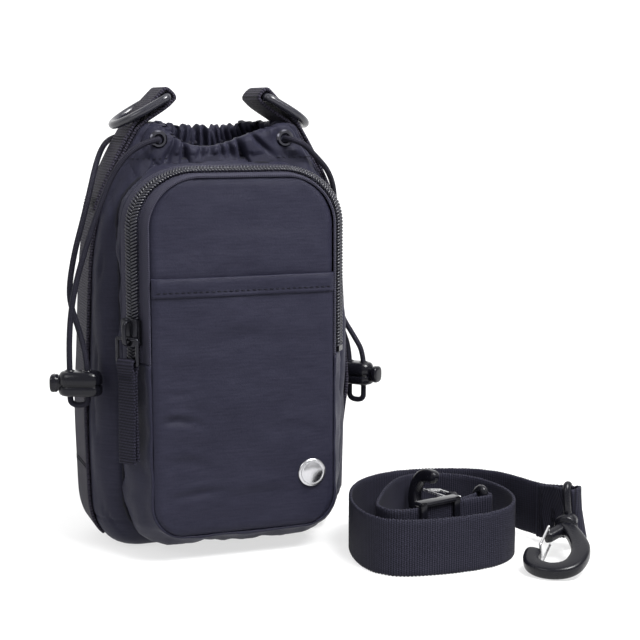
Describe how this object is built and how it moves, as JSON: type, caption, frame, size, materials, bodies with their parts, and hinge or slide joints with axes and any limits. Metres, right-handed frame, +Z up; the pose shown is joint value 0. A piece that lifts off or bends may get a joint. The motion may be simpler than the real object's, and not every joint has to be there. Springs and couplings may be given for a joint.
{
  "type": "phone pouch",
  "caption": "Upright drawstring phone pouch with a curved front zip pocket, slip pocket, cord locks and strap rings, with its detached webbing shoulder strap rolled up beside it.",
  "frame": {"origin": "middle of the pouch's base, on the ground", "axes": "+Z up, the pocket faces -Y, +X on the right as seen from the front"},
  "size_m": [0.232, 0.1585, 0.2079],
  "materials": {
    "nylon_shell": "matte woven nylon",
    "lining_fabric": "thin woven lining",
    "eyelet_steel": "gunmetal plated",
    "webbing": "ribbed webbing",
    "zip_tape": "woven tape",
    "zip_coil": "nylon coil",
    "elastic_cord": "braided sheath",
    "bright_wire": "plated wire",
    "polished_badge": "polished",
    "black_metal": "black lacquer",
    "black_plastic": "moulded satin plastic"
  },
  "bodies": {
    "pouch": {"front_panel": "nylon_shell", "back_panel": "nylon_shell", "base_panel": "nylon_shell", "lining": "lining_fabric", "drawcord_channel": "lining_fabric", "eyelet_front_left": "eyelet_steel", "eyelet_front_right": "eyelet_steel", "eyelet_back_left": "eyelet_steel", "eyelet_back_right": "eyelet_steel", "eyelet_washers": "eyelet_steel", "left_side_webbing": "webbing", "left_drawcord": "elastic_cord", "left_channel_cord": "elastic_cord", "right_side_webbing": "webbing", "right_drawcord": "elastic_cord", "right_channel_cord": "elastic_cord", "zip_tape_front": "zip_tape", "zip_tape_rear": "zip_tape", "zip_coil_front": "zip_coil", "zip_coil_rear": "zip_coil", "pocket_gusset_upper": "nylon_shell", "pocket_gusset_lower": "nylon_shell", "zip_end_stops": "black_metal", "pocket_front_panel": "nylon_shell", "slip_pocket_panel": "nylon_shell", "slip_pocket_hem": "nylon_shell", "plain_badge": "polished_badge"},
    "left_ring": {"left_ring": "black_plastic"},
    "right_ring": {"right_ring": "black_plastic"},
    "left_lock": {"left_lock_body": "black_plastic", "left_lock_spring": "bright_wire"},
    "left_button": {"left_lock_button": "black_plastic"},
    "right_lock": {"right_lock_body": "black_plastic", "right_lock_spring": "bright_wire"},
    "right_button": {"right_lock_button": "black_plastic"},
    "slider": {"zip_slider": "black_metal"},
    "pull": {"zip_puller": "black_metal", "zip_pull_tab": "webbing"},
    "strap": {"strap_webbing": "webbing"},
    "adjuster": {"strap_adjuster": "black_plastic"},
    "outer_eye": {"outer_hook_eye": "black_plastic"},
    "outer_hook": {"outer_hook": "black_plastic"},
    "outer_gate": {"outer_hook_gate": "bright_wire"},
    "inner_eye": {"inner_hook_eye": "black_plastic"},
    "inner_hook": {"inner_hook": "black_plastic"},
    "inner_gate": {"inner_hook_gate": "bright_wire"}
  },
  "joints": [
    {"name": "left_ring_swing", "type": "hinge", "parent": "pouch", "child": "left_ring", "pos_m": [-0.0235, 0, 0.204], "axis": [0, 1, 0], "range_deg": [0, 150]},
    {"name": "right_ring_swing", "type": "hinge", "parent": "pouch", "child": "right_ring", "pos_m": [0.0235, 0, 0.204], "axis": [0, -1, 0], "range_deg": [0, 150]},
    {"name": "left_lock_slide", "type": "slide", "parent": "pouch", "child": "left_lock", "axis": [0, 0, 1], "range_m": [0, 0.038], "deforming": ["left_drawcord"]},
    {"name": "left_button_press", "type": "slide", "parent": "left_lock", "child": "left_button", "axis": [0.9135, -0.4067, 0], "range_m": [0, 0.0022], "stiffness_N_per_m": 1200, "springref_m": -0.001, "deforming": ["left_lock_spring"]},
    {"name": "right_lock_slide", "type": "slide", "parent": "pouch", "child": "right_lock", "axis": [0, 0, 1], "range_m": [-0.004, 0.038], "deforming": ["right_drawcord"]},
    {"name": "right_button_press", "type": "slide", "parent": "right_lock", "child": "right_button", "axis": [-0.6428, 0.766, 0], "range_m": [0, 0.0022], "stiffness_N_per_m": 1200, "springref_m": -0.001, "deforming": ["right_lock_spring"]},
    {"name": "zip_slide", "type": "slide", "parent": "pouch", "child": "slider", "axis": [0, 0, 1], "range_m": [-0.004, 0.038]},
    {"name": "zip_pull_swing", "type": "hinge", "parent": "slider", "child": "pull", "pos_m": [-0.05072, -0.04471, 0.1009], "axis": [-0.6, 0.8, 0], "range_deg": [0, 150]},
    {"name": "strap_lift", "type": "slide", "parent": "pouch", "child": "strap", "axis": [0, 0, 1], "range_m": [0, 0.3]},
    {"name": "adjuster_slide", "type": "slide", "parent": "strap", "child": "adjuster", "axis": [0.9662, 0.258, 0], "range_m": [0, 0.003]},
    {"name": "outer_eye_swing", "type": "hinge", "parent": "strap", "child": "outer_eye", "pos_m": [0.1435, -0.0905, 0.01812], "axis": [-0.2948, -0.1302, 0.9466], "range_deg": [-4, 25]},
    {"name": "outer_hook_swivel", "type": "hinge", "parent": "outer_eye", "child": "outer_hook", "pos_m": [0.11797, -0.11592, 0.00667], "axis": [-0.6754, -0.6724, -0.3028], "continuous": true},
    {"name": "outer_gate_press", "type": "hinge", "parent": "outer_hook", "child": "outer_gate", "pos_m": [0.12508, -0.10178, 0.01144], "axis": [-0.2146, -0.2136, 0.953], "range_deg": [0, 30], "stiffness_Nm_per_rad": 0.06, "springref_deg": -8.59},
    {"name": "inner_eye_swing", "type": "hinge", "parent": "strap", "child": "inner_eye", "pos_m": [0.1014, -0.083, 0.016], "axis": [0.009, -0.0337, 0.9994], "range_deg": [-4, 10]},
    {"name": "inner_hook_swivel", "type": "hinge", "parent": "inner_eye", "child": "inner_hook", "pos_m": [0.09102, -0.04668, 0.01732], "axis": [-0.2746, 0.9609, 0.0349], "continuous": true},
    {"name": "inner_gate_press", "type": "hinge", "parent": "inner_hook", "child": "inner_gate", "pos_m": [0.09623, -0.06174, 0.02169], "axis": [-0.9452, -0.2764, 0.1735], "range_deg": [0, 30], "stiffness_Nm_per_rad": 0.06, "springref_deg": -8.59}
  ]
}
